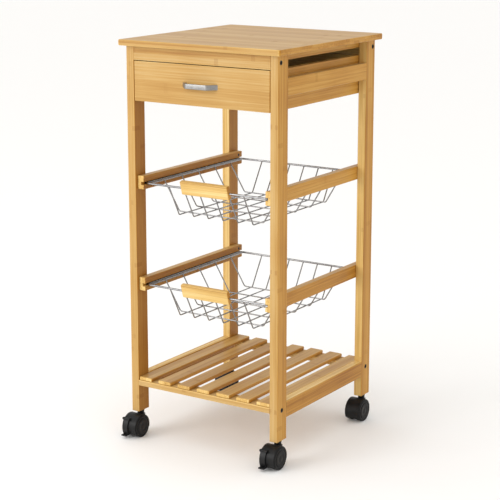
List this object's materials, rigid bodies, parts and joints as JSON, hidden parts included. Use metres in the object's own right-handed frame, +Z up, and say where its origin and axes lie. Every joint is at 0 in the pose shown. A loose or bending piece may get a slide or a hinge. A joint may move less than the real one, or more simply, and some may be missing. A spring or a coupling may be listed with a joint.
{
  "type": "rolling utility cart",
  "caption": "Bamboo kitchen trolley with a table top, a drawer, sliding wire baskets, a slatted shelf and swivel casters.",
  "frame": {"origin": "on the floor under the middle of the cart's outline", "axes": "+Z up, -Y the front with the drawer and the basket grips, +X to the right of someone facing the front"},
  "size_m": [0.35, 0.3864, 0.763],
  "materials": {
    "bamboo": "clear satin lacquer",
    "dowel_wood": "raw",
    "black_steel": "black oxide",
    "zinc_steel": "zinc plated",
    "satin_nickel": "satin nickel",
    "chrome_wire": "bright chrome",
    "black_plastic": "moulded, fine grain",
    "tread_plastic": "moulded"
  },
  "bodies": {
    "root": {"table_top": "bamboo", "top_cleats": "bamboo", "drawer_runners": "bamboo", "front_apron": "bamboo", "back_apron": "bamboo", "front_cross_rail": "bamboo", "back_cross_rail": "bamboo", "leg_front_left": "bamboo", "leg_front_right": "bamboo", "leg_back_left": "bamboo", "leg_back_right": "bamboo", "upper_side_rail_left": "bamboo", "upper_side_rail_right": "bamboo", "lower_side_rail_left": "bamboo", "lower_side_rail_right": "bamboo", "upper_basket_rail_left": "bamboo", "upper_basket_rail_right": "bamboo", "lower_basket_rail_left": "bamboo", "lower_basket_rail_right": "bamboo", "shelf_slat_1": "bamboo", "shelf_slat_2": "bamboo", "shelf_slat_3": "bamboo", "shelf_slat_4": "bamboo", "shelf_slat_5": "bamboo", "shelf_slat_6": "bamboo", "shelf_slat_7": "bamboo", "dowels": "dowel_wood", "frame_bolts": "black_steel", "barrel_nuts": "zinc_steel", "wood_screws": "black_steel", "caster_sockets": "black_plastic"},
    "drawer": {"drawer_front": "bamboo", "drawer_side_left": "bamboo", "drawer_side_right": "bamboo", "drawer_back": "bamboo", "drawer_bottom": "bamboo", "drawer_handle": "satin_nickel", "drawer_fasteners": "zinc_steel"},
    "upper_basket": {"upper_basket_wires": "chrome_wire", "upper_basket_grip": "bamboo"},
    "lower_basket": {"lower_basket_wires": "chrome_wire", "lower_basket_grip": "bamboo"},
    "caster_front_left": {"caster_front_left_hood": "black_plastic", "caster_front_left_pins": "zinc_steel"},
    "caster_front_left_wheel_left": {"caster_front_left_wheel_left": "tread_plastic"},
    "caster_front_left_wheel_right": {"caster_front_left_wheel_right": "tread_plastic"},
    "caster_front_left_brake_lever": {"caster_front_left_brake_lever": "black_plastic"},
    "caster_back_left": {"caster_back_left_hood": "black_plastic", "caster_back_left_pins": "zinc_steel"},
    "caster_back_left_wheel_left": {"caster_back_left_wheel_left": "tread_plastic"},
    "caster_back_left_wheel_right": {"caster_back_left_wheel_right": "tread_plastic"},
    "caster_front_right": {"caster_front_right_hood": "black_plastic", "caster_front_right_pins": "zinc_steel"},
    "caster_front_right_wheel_left": {"caster_front_right_wheel_left": "tread_plastic"},
    "caster_front_right_wheel_right": {"caster_front_right_wheel_right": "tread_plastic"},
    "caster_front_right_brake_lever": {"caster_front_right_brake_lever": "black_plastic"},
    "caster_back_right": {"caster_back_right_hood": "black_plastic", "caster_back_right_pins": "zinc_steel"},
    "caster_back_right_wheel_left": {"caster_back_right_wheel_left": "tread_plastic"},
    "caster_back_right_wheel_right": {"caster_back_right_wheel_right": "tread_plastic"}
  },
  "joints": [
    {"name": "drawer_slide", "type": "slide", "parent": "root", "child": "drawer", "axis": [0, -1, 0], "range_m": [0, 0.22]},
    {"name": "upper_basket_slide", "type": "slide", "parent": "root", "child": "upper_basket", "axis": [0, -1, 0], "range_m": [0, 0.2]},
    {"name": "lower_basket_slide", "type": "slide", "parent": "root", "child": "lower_basket", "axis": [0, -1, 0], "range_m": [0, 0.2]},
    {"name": "caster_front_left_swivel", "type": "hinge", "parent": "root", "child": "caster_front_left", "pos_m": [-0.1565, -0.1478, 0.049], "axis": [0, 0, 1], "continuous": true},
    {"name": "caster_front_left_wheel_left_spin", "type": "hinge", "parent": "caster_front_left", "child": "caster_front_left_wheel_left", "pos_m": [-0.1565, -0.1638, 0.021], "axis": [1, 0, 0], "continuous": true},
    {"name": "caster_front_left_wheel_right_spin", "type": "hinge", "parent": "caster_front_left", "child": "caster_front_left_wheel_right", "pos_m": [-0.1565, -0.1638, 0.021], "axis": [1, 0, 0], "continuous": true},
    {"name": "caster_front_left_brake_lever_tip", "type": "hinge", "parent": "caster_front_left", "child": "caster_front_left_brake_lever", "pos_m": [-0.1565, -0.18372, 0.03771], "axis": [-1, 0, 0], "range_deg": [0, 15]},
    {"name": "caster_back_left_swivel", "type": "hinge", "parent": "root", "child": "caster_back_left", "pos_m": [-0.1565, 0.1642, 0.049], "axis": [0, 0, 1], "continuous": true},
    {"name": "caster_back_left_wheel_left_spin", "type": "hinge", "parent": "caster_back_left", "child": "caster_back_left_wheel_left", "pos_m": [-0.1565, 0.1482, 0.021], "axis": [1, 0, 0], "continuous": true},
    {"name": "caster_back_left_wheel_right_spin", "type": "hinge", "parent": "caster_back_left", "child": "caster_back_left_wheel_right", "pos_m": [-0.1565, 0.1482, 0.021], "axis": [1, 0, 0], "continuous": true},
    {"name": "caster_front_right_swivel", "type": "hinge", "parent": "root", "child": "caster_front_right", "pos_m": [0.1565, -0.1478, 0.049], "axis": [0, 0, 1], "continuous": true},
    {"name": "caster_front_right_wheel_left_spin", "type": "hinge", "parent": "caster_front_right", "child": "caster_front_right_wheel_left", "pos_m": [0.1565, -0.1638, 0.021], "axis": [1, 0, 0], "continuous": true},
    {"name": "caster_front_right_wheel_right_spin", "type": "hinge", "parent": "caster_front_right", "child": "caster_front_right_wheel_right", "pos_m": [0.1565, -0.1638, 0.021], "axis": [1, 0, 0], "continuous": true},
    {"name": "caster_front_right_brake_lever_tip", "type": "hinge", "parent": "caster_front_right", "child": "caster_front_right_brake_lever", "pos_m": [0.1565, -0.18372, 0.03771], "axis": [-1, 0, 0], "range_deg": [0, 15]},
    {"name": "caster_back_right_swivel", "type": "hinge", "parent": "root", "child": "caster_back_right", "pos_m": [0.1565, 0.1642, 0.049], "axis": [0, 0, 1], "continuous": true},
    {"name": "caster_back_right_wheel_left_spin", "type": "hinge", "parent": "caster_back_right", "child": "caster_back_right_wheel_left", "pos_m": [0.1565, 0.1482, 0.021], "axis": [1, 0, 0], "continuous": true},
    {"name": "caster_back_right_wheel_right_spin", "type": "hinge", "parent": "caster_back_right", "child": "caster_back_right_wheel_right", "pos_m": [0.1565, 0.1482, 0.021], "axis": [1, 0, 0], "continuous": true}
  ]
}
